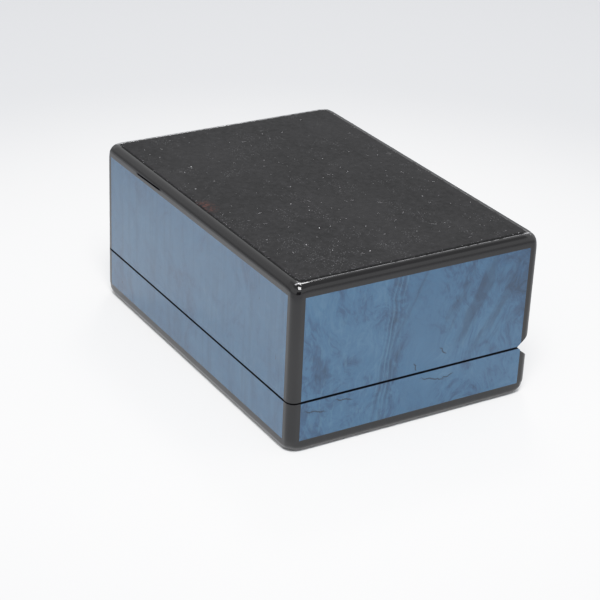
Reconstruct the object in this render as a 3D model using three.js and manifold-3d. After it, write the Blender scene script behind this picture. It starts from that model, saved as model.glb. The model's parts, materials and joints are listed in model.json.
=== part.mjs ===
// Lacquered jewelry gift box, standing upside down on its lid.
// Millimetres, +Z up. The origin is the middle of the lid's outer face, which rests on the ground.
// +X runs along the long side, +Y towards the hinged rear side.
// The box is one veneered carcass sawn into a shallow lid (below) and a deep base (above).
import * as THREE from 'three';
import { mergeVertices } from 'three/addons/utils/BufferGeometryUtils.js';
import Module from 'manifold-3d';

const wasm = await Module();
wasm.setup();

// ---- Driving dimensions -------------------------------------------------------------------

// Outside of the lacquered carcass
const LENGTH = 157;
const WIDTH = 110;
const HEIGHT = 69.3;
const CORNER = 4.7; // width of the black corner beads
const CORNER_RADIUS = 3.4; // plan radius of the corners
const EDGE_RADIUS = 3.2; // round-over of the lid's and base's outer edges
const RIM = 3.6; // width of the black border on the lid's top and on the base's underside
const LID_BEAD = 5.3; // height of the black border around the lid's sides
const BASE_BEAD = 4.8; // the same around the base's sides

// Saw cut between lid and base
const SEAM = 21.5;
const SEAM_GAP = 0.5;

// Boards
const VENEER = 0.6;
const WALL = 11; // from the outer face to the inside
const BOARD = 6;
const FELT = 0.9;
const FELT_PROUD = 0.4;
const FELT_MARGIN = 4; // from the outer faces to the felt's edge
const FELT_CORNER = 3;

// Bevels along the rear that let the base swing over
const GROOVE_DEPTH = 6.3;
const LID_BEVEL = { rise: -1, angle: THREE.MathUtils.degToRad(38), round: 5 };
const BASE_BEVEL = { rise: 1, angle: THREE.MathUtils.degToRad(40), round: 7 };
const PIVOT_DEPTH = 5; // from the rear face to the hinge axis, which lies in the groove

// Press-in hinges
const HINGE_X = 42;
const HINGE_LENGTH = 30;
const KNUCKLE_R = 2.2;
const KNUCKLE_SPAN = 9.7; // length of the lid leaf's middle knuckle
const KNUCKLE_GAP = 0.3;
const PIN_R = 0.88;
const PIN_BORE_R = 0.95;
const PIN_OVERHANG = 0.3;
const LEAF = 1.1;
const LEAF_DEPTH = 11;
const POCKET_CLEARANCE = 0.4;

// Linings
const LIP_CLEARANCE = 0.4; // between the base lining's lip and the lid
const LIP = 2.6; // how far the base lining reaches into the lid
const LINING = 1.5;
const LID_LINING = 1.2;
const LINING_GAP = 0.4; // between the base's lip and the lid's lining
const FLOOR_LINING = 1;

// Lid cushion and the insert of the base
const PAD_MARGIN = 1;
const PAD_HEIGHT = 5;
const DIVIDER = 2.4;
const INSERT_DROP = 3; // from the rim down to the dividers
const ROLLS = 4;
const ROLL_R = 4.6;
const ROLL_GAP = 0.35;
const ROLL_END_GAP = 0.6;
const PILLOW = { length: 56, width: 36, height: 28, round: 7 };

const ARC_STEPS = 8;
const ROUND_STEPS = 24;

// ---- Derived positions --------------------------------------------------------------------

const END = LENGTH / 2;
const SIDE = WIDTH / 2;
const PIVOT_Y = SIDE - PIVOT_DEPTH;
const CAVITY_X = END - WALL;
const CAVITY_Y = SIDE - WALL;

// Each half counts depth from its outer face towards the seam.
const LID = {
  name: 'lid', outer: 0, towards: 1, height: SEAM - SEAM_GAP / 2, bead: LID_BEAD, boardFrom: VENEER,
};
const BASE = {
  name: 'base', outer: HEIGHT, towards: -1, height: HEIGHT - SEAM - SEAM_GAP / 2, bead: BASE_BEAD,
  boardFrom: FELT - FELT_PROUD,
};
const atDepth = (half, depth) => half.outer + half.towards * depth;
const LID_FLOOR = atDepth(LID, LID.boardFrom + BOARD);
const BASE_FLOOR = atDepth(BASE, BASE.boardFrom + BOARD);

// ---- Materials ----------------------------------------------------------------------------

const standard = (color, roughness, metalness = 0) =>
  new THREE.MeshStandardMaterial({ color, roughness, metalness });
const MATERIALS = {
  lacquer: standard(0x0e0e11, 0.08),
  veneer: standard(0x3f5f80, 0.12),
  felt: standard(0x222224, 0.95),
  suede: standard(0xcdbfa6, 0.9),
  satin: standard(0xe4dccb, 0.45),
  brass: standard(0xb08d4c, 0.3, 1),
};

// ---- Solids -------------------------------------------------------------------------------

function toSolid(geometry) {
  geometry.deleteAttribute('normal');
  geometry.deleteAttribute('uv');
  const merged = mergeVertices(geometry, 1e-4);
  return new wasm.Manifold(new wasm.Mesh({
    numProp: 3,
    vertProperties: new Float32Array(merged.attributes.position.array),
    triVerts: new Uint32Array(merged.index.array),
  }));
}

function toGeometry(solid) {
  const mesh = solid.getMesh();
  const geometry = new THREE.BufferGeometry();
  geometry.setAttribute('position', new THREE.BufferAttribute(new Float32Array(mesh.vertProperties), 3));
  geometry.setIndex(new THREE.BufferAttribute(new Uint32Array(mesh.triVerts), 1));
  geometry.computeVertexNormals();
  return geometry;
}

// A box between two values on each axis, given in either order.
function block([xa, xb], [ya, yb], [za, zb]) {
  const geometry = new THREE.BoxGeometry(Math.abs(xb - xa), Math.abs(yb - ya), Math.abs(zb - za));
  return toSolid(geometry.translate((xa + xb) / 2, (ya + yb) / 2, (za + zb) / 2));
}

// A round bar along X.
function bar(radius, [xa, xb], y, z) {
  const geometry = new THREE.CylinderGeometry(radius, radius, xb - xa, ROUND_STEPS);
  return toSolid(geometry.rotateZ(Math.PI / 2).translate((xa + xb) / 2, y, z));
}

function roundedRectangle(length, width, radius) {
  const shape = new THREE.Shape();
  const x = length / 2 - radius;
  const y = width / 2 - radius;
  shape.absarc(x, y, radius, 0, Math.PI / 2);
  shape.absarc(-x, y, radius, Math.PI / 2, Math.PI);
  shape.absarc(-x, -y, radius, Math.PI, 1.5 * Math.PI);
  shape.absarc(x, -y, radius, 1.5 * Math.PI, 2 * Math.PI);
  return shape;
}

// A rounded rectangle raised between two heights, with both rims rounded over.
function roundedBlock(length, width, corner, round, [low, high]) {
  const geometry = new THREE.ExtrudeGeometry(roundedRectangle(length, width, corner), {
    depth: high - low - 2 * round,
    bevelEnabled: round > 0,
    bevelThickness: round,
    bevelSize: round,
    bevelOffset: -round,
    bevelSegments: ARC_STEPS,
    curveSegments: ARC_STEPS,
  });
  return toSolid(geometry.translate(0, 0, low + round));
}

// Both bevels and the air behind them, run along the whole rear side.
function rearGroove() {
  const apex = SIDE - GROOVE_DEPTH;
  const outside = SIDE + GROOVE_DEPTH;
  // Height of each rounding's centre, where the rounding runs out into the rear face.
  const [low, high] = [LID_BEVEL, BASE_BEVEL].map(({ rise, angle, round }) => {
    const tangent = round * Math.tan((Math.PI / 2 - angle) / 2);
    return SEAM + rise * (SEAM_GAP / 2 + GROOVE_DEPTH * Math.tan(angle) + tangent);
  });
  const shape = new THREE.Shape();
  shape.moveTo(apex, SEAM - SEAM_GAP / 2);
  shape.absarc(SIDE - LID_BEVEL.round, low, LID_BEVEL.round, Math.PI / 2 - LID_BEVEL.angle, 0, true);
  shape.lineTo(outside, low);
  shape.lineTo(outside, high);
  shape.absarc(SIDE - BASE_BEVEL.round, high, BASE_BEVEL.round, 0, BASE_BEVEL.angle - Math.PI / 2, true);
  shape.lineTo(apex, SEAM + SEAM_GAP / 2);
  const geometry = new THREE.ExtrudeGeometry(shape, {
    depth: LENGTH + 2, bevelEnabled: false, curveSegments: ARC_STEPS,
  });
  // The shape's x and y become Y and Z, and the extrusion runs along X.
  geometry.rotateX(Math.PI / 2).rotateZ(Math.PI / 2).translate(-END - 1, 0, 0);
  return toSolid(geometry);
}

const carcass = roundedBlock(LENGTH, WIDTH, CORNER_RADIUS, EDGE_RADIUS, [0, HEIGHT]);
const groove = rearGroove();

// ---- Assembly -----------------------------------------------------------------------------

const box = new THREE.Group();

function add(name, slot, solid) {
  const mesh = new THREE.Mesh(toGeometry(solid), MATERIALS[slot]);
  mesh.name = name;
  box.add(mesh);
}

// Black bead around a half's outer face. The face's corners are part of it.
function addEdgeFrame(half) {
  const band = [half.outer - half.towards, atDepth(half, half.bead)];
  const ring = block([-END - 1, END + 1], [-SIDE - 1, SIDE + 1], band)
    .intersect(carcass)
    .subtract(block([RIM - END, END - RIM], [RIM - SIDE, SIDE - RIM], band));
  add(`${half.name}_edge_frame`, 'lacquer', ring);
}

function addCornerPosts(half, board) {
  const span = [atDepth(half, half.bead), atDepth(half, half.height)];
  for (const [sideName, y] of [['front', -1], ['rear', 1]]) {
    for (const [endName, x] of [['left', -1], ['right', 1]]) {
      const corner = block([x * (END - CORNER), x * (END + 1)], [y * (SIDE - CORNER), y * (SIDE + 1)], span);
      const post = corner.intersect(carcass).subtract(board).subtract(groove);
      add(`${half.name}_corner_${sideName}_${endName}`, 'lacquer', post);
    }
  }
}

function addBoard(half, name) {
  const span = [atDepth(half, half.boardFrom), atDepth(half, half.boardFrom + BOARD)];
  const board = block([RIM - END, END - RIM], [RIM - SIDE, SIDE - RIM], span);
  add(name, 'lacquer', board);
  return board;
}

// Side walls run the full length. End walls are rebated over their ends.
function addWalls(half, board, hingeCut) {
  const span = [atDepth(half, half.bead), atDepth(half, half.height)];
  const lengthways = [CORNER - END, END - CORNER];
  const sides = {};
  for (const [name, y] of [['front', -1], ['rear', 1]]) {
    sides[name] = block(lengthways, [y * CAVITY_Y, y * (SIDE - VENEER)], span).subtract(board);
  }
  for (const [name, x] of [['left', -1], ['right', 1]]) {
    const end = block([x * CAVITY_X, x * (END - VENEER)], [CORNER - SIDE, SIDE - CORNER], span)
      .subtract(board)
      .subtract(sides.front)
      .subtract(sides.rear)
      .subtract(groove);
    add(`${half.name}_${name}_wall`, 'lacquer', end);
  }
  add(`${half.name}_front_wall`, 'lacquer', sides.front);
  add(`${half.name}_rear_wall`, 'lacquer', sides.rear.subtract(groove).subtract(hingeCut));
}

function addVeneers(half) {
  const span = [atDepth(half, half.bead), atDepth(half, half.height)];
  for (const [name, y] of [['front', -1], ['rear', 1]]) {
    const sheet = block([CORNER - END, END - CORNER], [y * (SIDE - VENEER), y * SIDE], span);
    add(`${half.name}_${name}_veneer`, 'veneer', sheet.subtract(groove));
  }
  for (const [name, x] of [['left', -1], ['right', 1]]) {
    const sheet = block([x * (END - VENEER), x * END], [CORNER - SIDE, SIDE - CORNER], span);
    add(`${half.name}_${name}_veneer`, 'veneer', sheet.subtract(groove));
  }
}

// Saw kerfs for the leaves, and round pockets for the knuckles, of both hinges in one half.
function hingeCuts(half) {
  const kerf = [atDepth(half, half.height - LEAF_DEPTH), atDepth(half, half.height + 1)];
  const cuts = [-HINGE_X, HINGE_X].map((x) => {
    const ends = [x - HINGE_LENGTH / 2, x + HINGE_LENGTH / 2];
    const pocket = [ends[0] - POCKET_CLEARANCE, ends[1] + POCKET_CLEARANCE];
    return block(ends, [PIVOT_Y - LEAF / 2, PIVOT_Y + LEAF / 2], kerf)
      .add(bar(KNUCKLE_R + POCKET_CLEARANCE, pocket, PIVOT_Y, SEAM));
  });
  return cuts[0].add(cuts[1]);
}

// A hinge leaf: a plate pressed into its kerf, with necks up to its knuckles on the pin's axis.
function leaf(half, x, knuckles) {
  const plateTop = SEAM - half.towards * (KNUCKLE_R + POCKET_CLEARANCE);
  const plateEnd = atDepth(half, half.height - LEAF_DEPTH);
  const thickness = [PIVOT_Y - LEAF / 2, PIVOT_Y + LEAF / 2];
  let solid = block([x - HINGE_LENGTH / 2, x + HINGE_LENGTH / 2], thickness, [plateEnd, plateTop]);
  for (const [from, to] of knuckles) {
    solid = solid
      .add(block([x + from, x + to], thickness, [plateTop, SEAM]))
      .add(bar(KNUCKLE_R, [x + from, x + to], PIVOT_Y, SEAM));
  }
  return solid.subtract(bar(PIN_BORE_R, [x - HINGE_LENGTH, x + HINGE_LENGTH], PIVOT_Y, SEAM));
}

function addHinges() {
  const middle = KNUCKLE_SPAN / 2;
  const outer = [middle + KNUCKLE_GAP, HINGE_LENGTH / 2];
  const half = HINGE_LENGTH / 2 + PIN_OVERHANG;
  for (const [name, x] of [['left', -HINGE_X], ['right', HINGE_X]]) {
    add(`hinge_${name}_lid_leaf`, 'brass', leaf(LID, x, [[-middle, middle]]));
    add(`hinge_${name}_base_leaf`, 'brass', leaf(BASE, x, [[-outer[1], -outer[0]], outer]));
    add(`hinge_${name}_pin`, 'brass', bar(PIN_R, [x - half, x + half], PIVOT_Y, SEAM));
  }
}

// Four covered cards around the inside of a cavity, long cards between the short ones.
function addLining(prefix, thickness, [halfX, halfY], span) {
  for (const [name, x] of [['left', -1], ['right', 1]]) {
    add(`${prefix}_${name}`, 'suede', block([x * (halfX - thickness), x * halfX], [-halfY, halfY], span));
  }
  for (const [name, y] of [['front', -1], ['rear', 1]]) {
    const run = [thickness - halfX, halfX - thickness];
    add(`${prefix}_${name}`, 'suede', block(run, [y * (halfY - thickness), y * halfY], span));
  }
}

function addLidInside() {
  const lipEnd = SEAM + SEAM_GAP / 2 - LIP;
  addLining('lid_lining', LID_LINING, [CAVITY_X, CAVITY_Y], [LID_FLOOR, lipEnd - LINING_GAP]);
  const length = 2 * (CAVITY_X - LID_LINING - PAD_MARGIN);
  const width = 2 * (CAVITY_Y - LID_LINING - PAD_MARGIN);
  const round = PAD_HEIGHT / 2;
  add('lid_satin_pad', 'satin', roundedBlock(length, width, round + 1, round, [LID_FLOOR, LID_FLOOR + PAD_HEIGHT]));
}

function addBaseInside() {
  const halfX = CAVITY_X - LIP_CLEARANCE;
  const halfY = CAVITY_Y - LIP_CLEARANCE;
  const rim = SEAM + SEAM_GAP / 2;
  addLining('base_lining', LINING, [halfX, halfY], [BASE_FLOOR, rim - LIP]);

  const insideX = halfX - LINING;
  const insideY = halfY - LINING;
  const floor = BASE_FLOOR - FLOOR_LINING;
  add('base_floor_lining', 'suede', block([-insideX, insideX], [-insideY, insideY], [floor, BASE_FLOOR]));

  // One long divider parts the ring rolls from two compartments, which a short one parts.
  const top = rim + INSERT_DROP;
  const dividerY = -insideY + ROLLS * 2 * ROLL_R + (ROLLS + 1) * ROLL_GAP;
  const rearFrom = dividerY + DIVIDER;
  add('divider_long', 'suede', block([-insideX, insideX], [dividerY, rearFrom], [top, floor]));
  add('divider_short', 'suede', block([-DIVIDER / 2, DIVIDER / 2], [rearFrom, insideY], [top, floor]));

  // The rolls stand level with the dividers on a platform. Rings are pushed in between them.
  const rollZ = top + ROLL_R;
  const platform = rollZ + ROLL_R + ROLL_GAP;
  add('roll_platform', 'suede', block([-insideX, insideX], [-insideY, dividerY], [platform, floor]));
  const rollRun = [ROLL_END_GAP - insideX, insideX - ROLL_END_GAP];
  for (let i = 0; i < ROLLS; i += 1) {
    const y = -insideY + ROLL_GAP + ROLL_R + i * (2 * ROLL_R + ROLL_GAP);
    add(`ring_roll_${i + 1}`, 'satin', bar(ROLL_R, rollRun, y, rollZ));
  }

  // A pillow for a bracelet or a watch fills the left compartment.
  const pillow = roundedBlock(PILLOW.length, PILLOW.width, PILLOW.round + 1, PILLOW.round, [
    floor - PILLOW.height, floor,
  ]);
  const middle = [-(insideX + DIVIDER / 2) / 2, (rearFrom + insideY) / 2, 0];
  add('bracelet_pillow', 'satin', pillow.translate(middle));
}

function addFelt() {
  const pad = roundedBlock(LENGTH - 2 * FELT_MARGIN, WIDTH - 2 * FELT_MARGIN, FELT_CORNER, 0, [
    atDepth(BASE, FELT - FELT_PROUD), HEIGHT + FELT_PROUD,
  ]);
  add('underside_felt', 'felt', pad);
}

for (const [half, boardName] of [[LID, 'lid_top_board'], [BASE, 'base_bottom_board']]) {
  const board = addBoard(half, boardName);
  addEdgeFrame(half);
  addCornerPosts(half, board);
  addWalls(half, board, hingeCuts(half));
  addVeneers(half);
}
add('lid_top_veneer', 'veneer', block([RIM - END, END - RIM], [RIM - SIDE, SIDE - RIM], [0, VENEER]));
addFelt();
addHinges();
addLidInside();
addBaseInside();

export default box;
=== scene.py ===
"""Lacquered jewelry gift box, standing upside down on its lid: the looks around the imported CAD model.

Metres, +Z up, in the CAD model's frame. +X is the right end, -Y the front, +Y the hinged rear.
"""

import json
import math
from functools import partialmethod, reduce

import bmesh
import bpy
import numpy as np
from mathutils import Matrix, Vector, noise
from mathutils.bvhtree import BVHTree


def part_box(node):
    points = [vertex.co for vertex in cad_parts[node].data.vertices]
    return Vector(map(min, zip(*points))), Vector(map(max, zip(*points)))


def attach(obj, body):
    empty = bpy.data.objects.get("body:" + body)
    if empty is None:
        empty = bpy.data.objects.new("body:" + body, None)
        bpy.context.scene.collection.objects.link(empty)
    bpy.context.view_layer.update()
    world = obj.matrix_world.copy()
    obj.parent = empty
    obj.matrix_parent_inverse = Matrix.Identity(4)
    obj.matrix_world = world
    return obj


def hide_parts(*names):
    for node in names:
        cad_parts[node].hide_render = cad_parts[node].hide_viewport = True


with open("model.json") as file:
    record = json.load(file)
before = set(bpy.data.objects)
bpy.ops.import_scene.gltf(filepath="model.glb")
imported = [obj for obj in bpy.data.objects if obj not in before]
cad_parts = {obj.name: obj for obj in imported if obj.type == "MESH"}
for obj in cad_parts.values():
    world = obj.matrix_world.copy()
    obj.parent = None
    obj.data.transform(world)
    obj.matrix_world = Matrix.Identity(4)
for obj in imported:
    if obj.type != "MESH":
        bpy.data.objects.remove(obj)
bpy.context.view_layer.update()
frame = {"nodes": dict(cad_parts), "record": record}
noise.seed_set(1)  # without it, noise_vector starts from the clock

MM = 0.001

# ---- Sizes ----

# From the CAD nodes
END, SIDE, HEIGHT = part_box("base_edge_frame")[1]
BASE_BEAD_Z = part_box("base_edge_frame")[0].z
LID_BEAD_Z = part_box("lid_edge_frame")[1].z
LID_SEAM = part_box("lid_front_wall")[1].z
BASE_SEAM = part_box("base_front_wall")[0].z
SEAM = (LID_SEAM + BASE_SEAM) / 2
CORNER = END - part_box("base_corner_front_right")[0].x
RECESS_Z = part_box("base_bottom_board")[1].z
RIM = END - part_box("base_bottom_board")[1].x
FELT_LOW, FELT_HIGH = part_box("underside_felt")
PIN_LOW, PIN_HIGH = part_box("hinge_left_pin")
LEAF_LOW, LEAF_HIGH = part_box("hinge_left_lid_leaf")
AXIS_Y, AXIS_Z = (PIN_LOW.y + PIN_HIGH.y) / 2, (PIN_LOW.z + PIN_HIGH.z) / 2

# Black beads
EDGE_RADIUS = 3.2 * MM
CORNER_ROUND = 3.4 * MM  # rounding of the upright corners in plan
CORNER_STRIP = 0.6 * MM  # flat strip beside that rounding
CORNER_REACH = 7 * MM  # the easing of the outer corners starts this far from them
BASE_CORNER_EASE = 2.4 * MM  # how far it draws in the sharp corner
LID_CORNER_EASE = 3.8 * MM
EASED_RUNS = (7 * MM, 6 * MM, 5 * MM, 4.2 * MM)  # extra points along the straight sides, for the easing
EASED_LEVELS = (0, 0.8 * MM, 1.6 * MM, 2.4 * MM)  # and up a corner bead
RIM_ENDS = 3.62 * MM  # black border on the underside, at the ends and along the sides
RIM_SIDES = 3.82 * MM
RECESS_CORNER = 2.6 * MM
INNER_CORNER = 0.2 * MM
LEAST_ROUND = 0.1 * MM  # of a frame's corner at its inset rings
ARRIS = 0.4 * MM  # the small rounding along the felt's recess
ARRIS_STEPS = 4
ARC_STEPS = 24
ROUND_STEPS = 14

# Bevels of the rear groove
GROOVE_DEPTH = 6.3 * MM
LID_BEVEL = {"seam": LID_SEAM, "rise": -1, "angle": math.radians(38), "round": 5 * MM}
BASE_BEVEL = {"seam": BASE_SEAM, "rise": 1, "angle": math.radians(40), "round": 7 * MM}

# Felt and the lint on it
FELT_CORNER = 3 * MM
FELT_ROUND = 0.35 * MM
FELT_INSETS = (1 * MM, 2 * MM, 4 * MM, 8 * MM, 16 * MM, 32 * MM, 48 * MM)  # rings of points over its face
FELT_PRESSED = 3 * MM  # width of the pressed edge
LINT_PIECES = 190
EDGE_HAIRS = 60

# Inside
CARD_ROUND = 0.45 * MM
BOARD_ROUNDS = {"base_floor_lining": 0.3 * MM, "divider_long": 1.1 * MM, "divider_short": 1.1 * MM,
                "roll_platform": 1.2 * MM}
SIM_SCALE = 10  # the cloth solver's defaults suit cushions of this many times the size
SIM_FRAMES = 20

# Hinges
PIN_R = (PIN_HIGH.y - PIN_LOW.y) / 2
PIN_DOME = 0.35 * MM
KNUCKLE_R = (LEAF_HIGH.y - LEAF_LOW.y) / 2
BORE_R = 0.95 * MM
LEAF = 1.1 * MM  # thickness of the plate
KNUCKLE_SPAN = 9.7 * MM
KNUCKLE_GAP = 0.3 * MM
KNUCKLE_BEVEL = 0.15 * MM
POCKET = 0.4 * MM  # from the knuckle to the plate

# Marks. Cracks in the end panels are from and to, as (Y, Z)
OPEN_JOINT_X = -38.5 * MM
JOINT_RISE, JOINT_SLOPE = 1.85 * MM, 0.02  # its height over the bead's lower edge
STAIN_X, STAIN_Y = 0.5 * MM, -49 * MM
STAIN_STRETCH = 1.6
DUSTY_CORNER = (END, -SIDE, HEIGHT)
FEATHER_LEAN = math.radians(63)
FEATHER_CENTRE = (30 * MM, 46 * MM, 0)
WAVE_PITCH = 0.314  # distance between a wave texture's lines at scale 1
BLUES = (
    (0.12, (0.012, 0.034, 0.070)), (0.36, (0.021, 0.058, 0.115)), (0.50, (0.028, 0.079, 0.146)),
    (0.64, (0.032, 0.088, 0.158)), (0.90, (0.046, 0.106, 0.174)),
)
CRACKS = (
    ((1.5 * MM, 19.3 * MM), (15.5 * MM, 15.6 * MM)), ((12 * MM, 16.4 * MM), (19 * MM, 17.8 * MM)),
    ((-36.5 * MM, 19.4 * MM), (-26.5 * MM, 17.4 * MM)), ((-50 * MM, 17.6 * MM), (-38 * MM, 15 * MM)),
    ((-0.8 * MM, 26.8 * MM), (1 * MM, 22.4 * MM)), ((10.5 * MM, 31 * MM), (14.5 * MM, 26.5 * MM)),
)

# Studio: brightness of the surroundings by the sine of the elevation, and where the floor turns grey: a
# painted falloff of the light, bright near the box
SKY = ((0.0, 0.855), (0.17, 0.855), (0.32, 1.28), (0.68, 1.28), (0.80, 0.51), (1.0, 0.51))
SKY_TINT = (0.98, 0.99, 1)
SKY_LEFT_DIM = 0.31  # how much dimmer they are on the left
SKY_LEFT = (-0.72, -0.25)  # X of the directions where that dimming is full, and where it ends
FLOOR_REACH = 4.0
FLOOR_LIGHT_FALLOFF = (0.10, 0.34)
FLOOR_NEAR_LIT, FLOOR_FAR_DIM = (0.79, 0.795, 0.806), (0.522, 0.528, 0.546)
WHITE = 2.0  # scene brightness that shows as pure white
HIGHLIGHTS = (  # brightness, and how bright it shows
    (0.2, 0.2), (0.4, 0.4), (0.6, 0.585), (0.8, 0.745), (1.0, 0.86), (1.3, 0.945), (1.6, 0.982),
)
LIGHT_TARGET = (0, 0, 50 * MM)
CAMERA_TARGET = Vector((27.6, -21.2, 35)) * MM
CAMERA_DISTANCE = 702.6 * MM
CAMERA_ANGLES = (58.232, 26.09, 2.583)  # azimuth, elevation and roll
CAMERA_LENS = 107.13


# ---- Mesh helpers ----

def turns(count):
    """Angles spread evenly round a full turn."""
    return [2 * math.pi * k / count for k in range(count)]


def quarter(steps):
    """Angles from 0 to a right angle."""
    return [step / steps * math.pi / 2 for step in range(steps + 1)]


def shaded(name, mesh, sharp):
    """An object of a mesh, shaded smooth except where faces meet at more than sharp degrees."""
    mesh.shade_smooth()
    mesh.set_sharp_from_angle(angle=math.radians(sharp))
    obj = bpy.data.objects.new(name, mesh)
    bpy.context.scene.collection.objects.link(obj)
    return obj


def mesh_object(name, vertices, faces, sharp=35):
    mesh = bpy.data.meshes.new(name)
    mesh.from_pydata([tuple(v) for v in vertices], [], faces)
    work = bmesh.new()
    work.from_mesh(mesh)
    bmesh.ops.remove_doubles(work, verts=work.verts, dist=1e-7)
    bmesh.ops.recalc_face_normals(work, faces=work.faces)
    work.to_mesh(mesh)
    work.free()
    return shaded(name, mesh, sharp)


def weighted_normals(obj):
    """Large faces decide the shading, so flat bands stay flat beside rounded ones."""
    modifier = obj.modifiers.new("normals", "WEIGHTED_NORMAL")
    modifier.keep_sharp = True
    modifier.weight = 90


def place(obj, body, slot, *nodes, material=None):
    obj.data.materials.append(material or MATERIALS[slot])
    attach(obj, body)
    if nodes:
        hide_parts(*nodes)


def rounded_loop(half_x, half_y, radius, z, runs=()):
    """Points of a rounded rectangle, anticlockwise from its +X side. Its straight sides get points of
    their own at the runs, which are distances from a corner, longest first."""
    points = []
    for turn, (sx, sy) in enumerate([(1, 1), (-1, 1), (-1, -1), (1, -1)]):
        on_end = [(sx * half_x, sy * (half_y - run)) for run in runs]
        on_side = [(sx * (half_x - run), sy * half_y) for run in runs]
        before, after = (on_end, on_side) if sx == sy else (on_side, on_end)
        arc = []
        for step in range(ARC_STEPS + 1):
            angle = (turn + step / ARC_STEPS) * math.pi / 2
            arc.append((sx * (half_x - radius) + radius * math.cos(angle),
                        sy * (half_y - radius) + radius * math.sin(angle)))
        points += [(x, y, z) for x, y in before + arc + after[::-1]]
    return points


def loft(name, loops, closed=False):
    """Joins loops of equal length into a skin. A closed loft joins the last loop to the first."""
    count = len(loops[0])
    vertices = [p for loop in loops for p in loop]
    faces = []
    rows = len(loops) if closed else len(loops) - 1
    for row in range(rows):
        below, above = row * count, (row + 1) % len(loops) * count
        for i in range(count):
            j = (i + 1) % count
            faces.append((below + i, below + j, above + j, above + i))
    if not closed:
        faces.append(tuple(range(count)))
        faces.append(tuple(len(vertices) - count + i for i in range(count)))
    return mesh_object(name, vertices, faces)


def line_samples(half, radius, pitch):
    """Places along one axis of a rounded box: close together on the round edges, a pitch apart between."""
    flat = half - radius
    steps = max(1, round(2 * flat / pitch))
    middle = [-flat + 2 * flat * i / steps for i in range(steps + 1)]
    edge = [flat + radius * math.tan(math.radians(angle)) for angle in (15, 30, 45)]
    return [-e for e in reversed(edge)] + middle + edge


def rounded_box(name, low, high, radius, pitch=3 * MM, uneven=0.0):
    """A box with round edges whose faces may be uneven, as covered board is."""
    low, high = Vector(low), Vector(high)
    half, middle = (high - low) / 2, (high + low) / 2
    samples = [line_samples(half[axis], radius, pitch) for axis in range(3)]
    vertices, faces = [], []
    for axis in range(3):
        across, along = (axis + 1) % 3, (axis + 2) % 3
        for sign in (-1, 1):
            start = len(vertices)
            for a in samples[across]:
                for b in samples[along]:
                    point = Vector((0, 0, 0))
                    point[axis], point[across], point[along] = sign * half[axis], a, b
                    core = Vector([max(-(h - radius), min(h - radius, p)) for p, h in zip(point, half)])
                    vertices.append(middle + (core + radius * (point - core).normalized()))
            rows, columns = len(samples[across]), len(samples[along])
            for i in range(rows - 1):
                for j in range(columns - 1):
                    corner = start + i * columns + j
                    faces.append((corner, corner + 1, corner + columns + 1, corner + columns))
    if uneven:
        vertices = [v + uneven * noise.noise_vector(v * 180) for v in vertices]
    return mesh_object(name, vertices, faces, sharp=60)


def tube(name, path, radius, closed=False, sides=8):
    """A round cord along a path of points. Its ends taper to a blunt tip."""
    rings = []
    count = len(path)
    side = None
    for i, point in enumerate(path):
        if closed:
            along = (path[(i + 1) % count] - path[i - 1]).normalized()
        else:
            along = (path[min(i + 1, count - 1)] - path[max(i - 1, 0)]).normalized()
        side = (along.orthogonal() if side is None else side - along * side.dot(along)).normalized()
        up = along.cross(side)
        end = not closed and i in (0, count - 1)
        size = radius * (0.45 if end else 1.0)
        rings.append([point + size * (math.cos(t) * side + math.sin(t) * up) for t in turns(sides)])
    return loft(name, rings, closed)


def join(name, pieces):
    """Makes one object of several pieces."""
    work = bmesh.new()
    for piece in pieces:
        work.from_mesh(piece.data)
    mesh = bpy.data.meshes.new(name)
    work.to_mesh(mesh)
    work.free()
    for piece in pieces:
        bpy.data.objects.remove(piece)
    return shaded(name, mesh, sharp=40)


# ---- Cloth simulation ----

def bake(obj):
    """Replaces an object's mesh by what its modifiers make of it."""
    graph = bpy.context.evaluated_depsgraph_get()
    mesh = bpy.data.meshes.new_from_object(obj.evaluated_get(graph))
    obj.modifiers.clear()
    old = obj.data
    obj.data = mesh
    bpy.data.meshes.remove(old)


def points_of(mesh):
    values = np.empty(len(mesh.vertices) * 3)
    mesh.vertices.foreach_get("co", values)
    return values.reshape(-1, 3)


def inflate(obj, voxel, cap, spare, pressure, seed, held=None):
    """Fills a fabric shape by cloth simulation. Spare is the extra cloth that makes it wrinkle, cap the
    furthest that a point may move, and held says which points are sewn or glued down."""
    obj.data.transform(Matrix.Scale(SIM_SCALE, 4))
    remesh = obj.modifiers.new("remesh", "REMESH")
    remesh.mode = "VOXEL"
    remesh.voxel_size = voxel * SIM_SCALE
    bake(obj)
    rest = points_of(obj.data)
    ruffle = np.random.default_rng(seed).normal(0, 0.05 * voxel * SIM_SCALE, rest.shape)
    group = obj.vertex_groups.new(name="held")
    for index, point in enumerate(rest / SIM_SCALE):
        if held and held(point):
            group.add([index], 1.0, "REPLACE")
            ruffle[index] = 0
    obj.data.vertices.foreach_set("co", (rest + ruffle).ravel())
    cloth = obj.modifiers.new("cloth", "CLOTH")
    settings = cloth.settings
    settings.quality = 6
    settings.use_pressure = True
    settings.uniform_pressure_force = pressure
    settings.shrink_min = -spare
    settings.tension_stiffness = settings.compression_stiffness = 20
    settings.bending_stiffness = 0.15
    settings.effector_weights.gravity = 0
    settings.vertex_group_mass = "held"
    cloth.point_cache.frame_start = 1
    cloth.point_cache.frame_end = SIM_FRAMES
    cloth.collision_settings.use_collision = False
    for frame_number in range(1, SIM_FRAMES + 1):
        bpy.context.scene.frame_set(frame_number)
    bake(obj)
    moved = points_of(obj.data) - rest
    length = np.linalg.norm(moved, axis=1, keepdims=True)
    limit = np.minimum(1, cap * SIM_SCALE / np.maximum(length, 1e-9))
    obj.data.vertices.foreach_set("co", ((rest + moved * limit) / SIM_SCALE).ravel())
    obj.vertex_groups.clear()
    bpy.context.scene.frame_set(1)


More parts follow.
